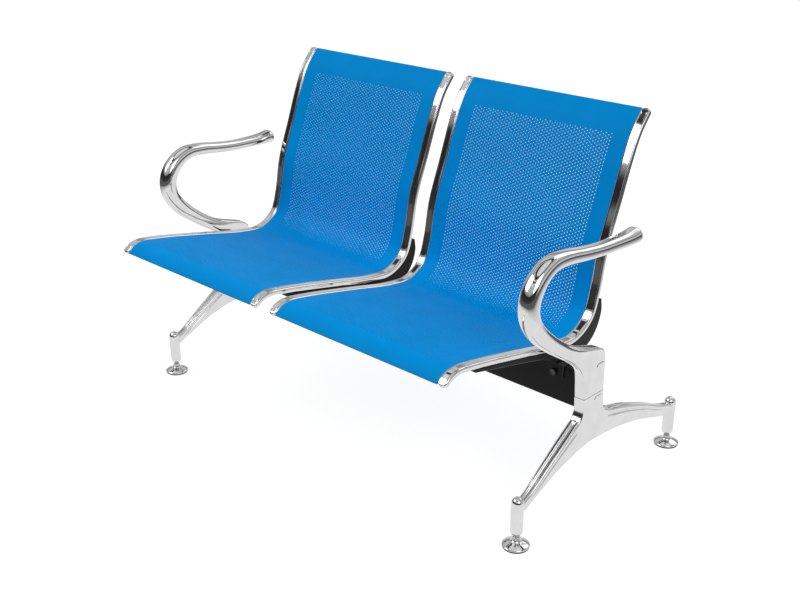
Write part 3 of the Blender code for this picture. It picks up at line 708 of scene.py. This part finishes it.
def leg_casting(side):
    """The lower half of the hub with both legs: a section swept round the side view, both sides filled."""
    x = SIDES[side] * END_X
    n = LEG_STEPS
    foot_width = LEG_WIDTHS[-1]
    leg = LEG_WIDTHS[4:]
    under = [*reversed(leg), *([HUB_WIDTH] * 3), *leg]
    widths = [*LEG_WIDTHS, foot_width, *under, foot_width, *reversed(LEG_WIDTHS)]
    path = through([(y, z, w) for (y, z), w in zip(LEG_OUTLINE, widths)], n)
    path = relax(path, 1.6)
    tangent = np.gradient(path[:, :2], axis=0)
    tangent[0] = (0.0, -1.0)
    tangent[-1] = (0.0, 1.0)
    tangent /= np.linalg.norm(tangent, axis=1)[:, None]
    inward = np.stack([-tangent[:, 1], tangent[:, 0]], -1)
    at = np.arange(len(path)) / n
    last = len(LEG_OUTLINE) - 1
    from_hub = np.minimum(at, last - at)
    on_top = from_hub < 9

    def fading(start, rise, stop, fall):
        """From 0 to 1 and back again on the way from the hub to the foot."""
        return np.clip((from_hub - start) / rise, 0.0, 1.0) * np.clip((stop - from_hub) / fall, 0.0, 1.0)

    groove = np.where(on_top, smooth_step(np.clip((from_hub - 2.1) / 0.4, 0.0, 1.0)), 0.0)
    channel = np.where(on_top, fading(2.6, 0.8, 8.2, 4.0), 0.0)
    scale = np.where(on_top, 0.42 + 0.58 * fading(1.8, 1.0, 8.6, 5.0), 0.42)
    points, faces = [], []
    half_count = len(leg_profile(0.025, 0.0, 0.0, 1.0))
    ring_size = 2 * half_count - 1
    for (y, z, width), normal, *shape in zip(path, inward, groove, channel, scale):
        half = leg_profile(width, *shape)
        full = np.concatenate([half, half[-2::-1] * (-1, 1)])
        for u, depth in full:
            points.append((x + u, y + depth * normal[0], z + depth * normal[1]))
    for k in range(len(path) - 1):
        for i in range(ring_size - 1):
            a = k * ring_size + i
            faces.append((a, a + 1, a + ring_size + 1, a + ring_size))
    # Either side is filled between the outline's two edges. A multiple of n is a corner of LEG_OUTLINE.
    for start in (0, ring_size - 1):
        front = [k * ring_size + start for k in range(4 * n, 8 * n + 1)]
        front_in = [k * ring_size + start for k in range(14 * n, 10 * n - 1, -1)]
        rear = [k * ring_size + start for k in range(28 * n, 24 * n - 1, -1)]
        rear_in = [k * ring_size + start for k in range(18 * n, 22 * n + 1)]
        for one, other in ((front, front_in), (rear, rear_in)):
            for k in range(len(one) - 1):
                faces.append((one[k], one[k + 1], other[k + 1], other[k]))
        for low, high in ((8 * n, 10 * n), (22 * n, 24 * n)):
            faces.append(tuple(k * ring_size + start for k in range(low, high + 1)))
        hub = [*range(0, 4 * n + 1), *range(14 * n, 18 * n + 1), *range(28 * n, 32 * n + 1)]
        faces.append(tuple(k * ring_size + start for k in hub))
    top = [*range(ring_size), *range((len(path) - 1) * ring_size, len(path) * ring_size)]
    faces.append(tuple(top))
    solid = Solid()
    solid.points, solid.faces = points, faces
    relief(solid, side, 0.2130, 0.2485)
    for place, y in FOOT_Y.items():
        cap = [
            (POST_RADIUS * math.sin(a), CAP_Z[place] + POST_RADIUS * math.cos(a))
            for a in np.linspace(0.0, math.pi / 2, 13)
        ]
        low = POST_BOTTOM
        profile = [
            *cap, (0.0128, low + 0.006), (0.0123, low + 0.0012), (0.0118, low + 0.0004), (0.0108, low),
            (0.0062, low), (0.0056, low + 0.0006), (0.0053, low + 0.0014),
            (0.0053, BORE_TOP), (0.0, BORE_TOP),
        ]
        solid.lathe(profile, (x, y, 0.0))
    mesh = solid.mesh(f"leg_casting_{side}")
    add(mesh.name, mesh, CAST, "bench", [f"leg_{side}"], 28.0)


# Feet

def foot(side, place):
    """A domed pad on a rubber sole, and the threaded stud that carries the leg on it."""
    tag = f"{side}_{place}"
    at = (SIDES[side] * END_X, FOOT_Y[place], 0.0)
    pad = [
        (0.0, 0.0072), (0.0063, 0.0072), (0.0063, 0.0150), (0.0068, 0.0155), (0.0086, 0.0155),
        (0.0093, 0.0150), (0.0098, 0.0140), (0.0106, 0.0131), (0.0122, 0.0124), (0.0145, 0.0116),
        (0.0172, 0.0107), (0.0200, 0.0097), (0.0228, 0.0085), (0.0252, 0.0073), (0.0268, 0.0064),
        (0.0277, 0.0056),
        (0.0280, 0.0048), (0.0279, 0.0040), (0.0274, 0.0034), (0.0268, 0.0033), (0.0, 0.0033),
    ]
    mesh = Solid().lathe(pad, at, 64).mesh(f"pad_{tag}")
    add(mesh.name, mesh, CHROME, f"pad_{tag}", [f"foot_pad_{tag}"])
    sole = [
        (0.0, 0.0030), (0.0262, 0.0030), (0.0268, 0.0027), (0.0270, 0.0021), (0.0270, 0.0006), (0.0266, 0.0),
        (0.0236, 0.0), (0.0232, 0.0008), (0.0212, 0.0008), (0.0208, 0.0), (0.0, 0.0),
    ]
    mesh = Solid().lathe(sole, at, 64).mesh(f"sole_{tag}")
    add(mesh.name, mesh, RUBBER, f"pad_{tag}", [f"foot_sole_{tag}"])
    angles = round_angles(36)
    ball = ((0.0078, 0.001), (0.0078, 0.0045), (0.0090, 0.0059), (0.0138, 0.0059), (0.0148, 0.0050))
    rings = [circle(at, radius, height, angles) for height, radius in ball]
    for height in np.arange(0.0152, 0.0500, THREAD_PITCH / 6):
        phase = (height / THREAD_PITCH - angles / (2 * math.pi)) % 1.0
        depth = THREAD_DEPTH * np.clip(np.abs(2 * phase - 1) * 1.3 - 0.15, 0.0, 1.0)
        rings.append(circle(at, STUD_RADIUS - depth, height, angles))
    for height, radius in ((0.0505, 0.0046), (0.0690, 0.0046), (0.0700, 0.0040), (0.0700, 0.001)):
        rings.append(circle(at, radius, height, angles))
    solid = Solid().loft(rings)
    hexagon = math.pi / 3 * np.round(angles / (math.pi / 3) - 0.5) + math.pi / 6
    flats = HEXAGON_HALF / np.cos(angles - hexagon)
    hexagon_corners = ((0.0165, 0.0067), (0.0169, 0.0078), (0.0221, 0.0078), (0.0225, 0.0067))
    solid.loft([circle(at, np.minimum(flats, radius), height, angles) for height, radius in hexagon_corners])
    mesh = solid.mesh(f"stud_piece_{tag}")
    add(mesh.name, mesh, ZINC, f"stud_{tag}", [f"foot_stud_{tag}"])


# Beam, saddles and fasteners

def beam():
    """The rectangular tube between the two hubs."""
    ring = rounded_rectangle(BEAM_DEPTH, BEAM_TOP - BEAM_BOTTOM, BEAM_ROUND, 8)
    y = BEAM_Y + ring[:, 0]
    z = (BEAM_BOTTOM + BEAM_TOP) / 2 + ring[:, 1]
    ends = (-BEAM_HALF_LENGTH, BEAM_HALF_LENGTH)
    mesh = Solid().loft([np.column_stack([np.full(len(ring), x), y, z]) for x in ends]).mesh("beam_tube")
    tube = add(mesh.name, mesh, BLACK, "bench", ["beam"])
    tube.visible_glossy = False  # the metal in front of it stays bright


def cad_finish():
    """The small CAD pieces that stay get the same finishes."""
    finishes = {"zinc_steel": ZINC, "black_powder_coat": BLACK, "chrome_plate": CHROME}
    slots = {row["node"]: row["material_slot"] for row in frame["record"]["subparts"]}
    for name, piece in frame["nodes"].items():
        if not piece.hide_render:
            piece.data.materials.clear()
            look = DARK_ZINC if name.startswith(("saddle_bolt", "bracket_screw")) else finishes[slots[name]]
            piece.data.materials.append(look)


# Studio

def studio_world():
    """A pale sweep for the camera, and walls with bands of light and dark for the metal to mirror."""
    world = bpy.data.worlds.new("studio")
    bpy.context.scene.world = world
    world.use_nodes = True
    nodes, links = world.node_tree.nodes, world.node_tree.links
    nodes.clear()
    out = nodes.new("ShaderNodeOutputWorld")
    around = nodes.new("ShaderNodeTexCoord")
    split = nodes.new("ShaderNodeSeparateXYZ")
    links.new(around.outputs["Generated"], split.inputs["Vector"])
    uneven = nodes.new("ShaderNodeTexNoise")
    uneven.inputs["Scale"].default_value = 1.4
    uneven.inputs["Detail"].default_value = 2.0
    links.new(around.outputs["Generated"], uneven.inputs["Vector"])
    sway = nodes.new("ShaderNodeMapRange")
    sway.inputs["To Min"].default_value = -0.04
    sway.inputs["To Max"].default_value = 0.04
    links.new(uneven.outputs["Fac"], sway.inputs["Value"])
    shifted = nodes.new("ShaderNodeMath")
    shifted.operation = "ADD"
    links.new(split.outputs["Z"], shifted.inputs[0])
    links.new(sway.outputs["Result"], shifted.inputs[1])

    def wall(bands):
        """How bright the studio is at each height, from the horizon to overhead."""
        ramp = nodes.new("ShaderNodeValToRGB")
        links.new(shifted.outputs["Value"], ramp.inputs["Fac"])
        elements = ramp.color_ramp.elements
        while len(elements) > 1:
            elements.remove(elements[-1])
        for place, (position, level) in enumerate(bands):
            element = elements[0] if place == 0 else elements.new(position)
            element.position = position
            element.color = (*grey(level), 1.0)
        return ramp.outputs["Color"]

    overhead = (
        (0.67, 0.72), (0.735, 0.85), (0.75, 0.03), (0.79, 0.03), (0.80, 0.95), (0.815, 1.0), (0.83, 0.04),
        (0.885, 0.03), (0.90, 0.85), (0.985, 0.9),
    )
    front = wall((
        (0.0, 0.05), (0.31, 0.02), (0.345, 0.28), (0.42, 0.42), (0.48, 0.62), (0.62, 0.58), *overhead,
    ))
    back = wall((
        (0.0, 0.95), (0.10, 0.75), (0.22, 0.62), (0.30, 0.36), (0.44, 0.34), (0.50, 0.75), (0.62, 0.60),
        *overhead,
    ))
    side = nodes.new("ShaderNodeMapRange")
    side.inputs["From Min"].default_value = -0.10
    side.inputs["From Max"].default_value = 0.15
    links.new(split.outputs["Y"], side.inputs["Value"])
    walls = nodes.new("ShaderNodeMix")
    walls.data_type = "RGBA"
    links.new(side.outputs["Result"], walls.inputs["Factor"])
    links.new(front, walls.inputs["A"])
    links.new(back, walls.inputs["B"])
    room = nodes.new("ShaderNodeBackground")
    links.new(walls.outputs["Result"], room.inputs["Color"])
    sweep = nodes.new("ShaderNodeBackground")
    sweep.inputs["Color"].default_value = (1.0, 1.0, 1.0, 1.0)
    sweep.inputs["Strength"].default_value = 0.98
    ray = nodes.new("ShaderNodeLightPath")
    either = nodes.new("ShaderNodeMixShader")
    links.new(ray.outputs["Is Camera Ray"], either.inputs["Fac"])
    links.new(room.outputs["Background"], either.inputs[1])
    links.new(sweep.outputs["Background"], either.inputs[2])
    links.new(either.outputs["Shader"], out.inputs["Surface"])


def floor_sheet(name, height, tone):
    """One sheet of the floor, with a glow unless it is the dim one."""
    mesh = bpy.data.meshes.new(name)
    square = ((-1, -1), (1, -1), (1, 1), (-1, 1))
    corners = [(FLOOR_REACH * x, FLOOR_REACH * y, height) for x, y in square]
    mesh.from_pydata(corners, [], [(0, 1, 2, 3)])
    floor = bpy.data.objects.new(name, mesh)
    bpy.context.scene.collection.objects.link(floor)
    paper = material(f"paper_{name}", (grey(tone), grey(tone + 0.02)), (0.75, 0.85), speckle=2.0, spec=0.0)
    mesh.materials.append(paper)
    tree = paper.node_tree
    glow = tree.nodes["Principled BSDF"].inputs
    if name != "dim_floor":
        glow["Emission Color"].default_value = (1.0, 1.0, 1.0, 1.0)
        glow["Emission Strength"].default_value = 0.76
    if name == "mirrored_floor":
        # Painted pool of light: this sheet glows fully near the bench and fades to a tenth of that farther
        # out.
        place = tree.nodes.new("ShaderNodeTexCoord")
        reach = tree.nodes.new("ShaderNodeVectorMath")
        reach.operation = "LENGTH"
        fade = tree.nodes.new("ShaderNodeMapRange")
        fade.inputs["From Min"].default_value = 1.3
        fade.inputs["From Max"].default_value = 2.4
        fade.inputs["To Min"].default_value = 1.0
        fade.inputs["To Max"].default_value = 0.10
        tree.links.new(place.outputs["Object"], reach.inputs[0])
        tree.links.new(reach.outputs["Value"], fade.inputs["Value"])
        tree.links.new(fade.outputs["Result"], glow["Emission Strength"])
    floor.visible_camera = name == "floor"
    floor.visible_glossy = name == "mirrored_floor"
    floor.visible_diffuse = name == "dim_floor"
    floor.visible_shadow = False


def studio():
    """The world, the floor and three soft lamps."""
    bpy.context.scene.view_settings.view_transform = "Standard"
    studio_world()
    # The pale sheet is the one that is seen. The metal mirrors the next, whose glow is a painted pool of
    # light that fades out away from the bench, and the dim one keeps the undersides of the seats in shade.
    floor_sheet("floor", 0.0, 0.45)
    floor_sheet("mirrored_floor", -0.003, 0.02)
    floor_sheet("dim_floor", -0.006, 0.10)
    for name, place, size, power in (
        ("key", (-2.2, -2.6, 3.4), 2.2, 60.0),
        ("fill", (3.2, -1.4, 2.6), 2.0, 30.0),
        ("back", (0.5, 3.2, 3.2), 2.4, 20.0),
    ):
        data = bpy.data.lights.new(name, "AREA")
        data.size = size
        data.energy = power
        lamp = bpy.data.objects.new(name, data)
        bpy.context.scene.collection.objects.link(lamp)
        lamp.location = place
        lamp.rotation_euler = (Vector((0.0, 0.0, 0.4)) - Vector(place)).to_track_quat("-Z", "Y").to_euler()


def camera():
    yaw, pitch = math.radians(43.7), math.radians(22.83)
    ahead = Vector((-math.sin(yaw) * math.cos(pitch), math.cos(yaw) * math.cos(pitch), -math.sin(pitch)))
    data = bpy.data.cameras.new("camera")
    data.lens = 50.27
    data.sensor_width = 36.0
    made = bpy.data.objects.new("camera", data)
    bpy.context.scene.collection.objects.link(made)
    made.location = (1.6564, -1.6908, 1.2927)
    made.rotation_euler = ahead.to_track_quat("-Z", "Y").to_euler()
    bpy.context.scene.camera = made


camera()
studio()
for end in SIDES:
    seat_skin(end)
    for edge_name in PLACES:
        side_rail(end, edge_name)
        bracket(end, edge_name)
    armrest(end)
    leg_casting(end)
    for corner_name in FOOT_Y:
        foot(end, corner_name)
beam()
cad_finish()
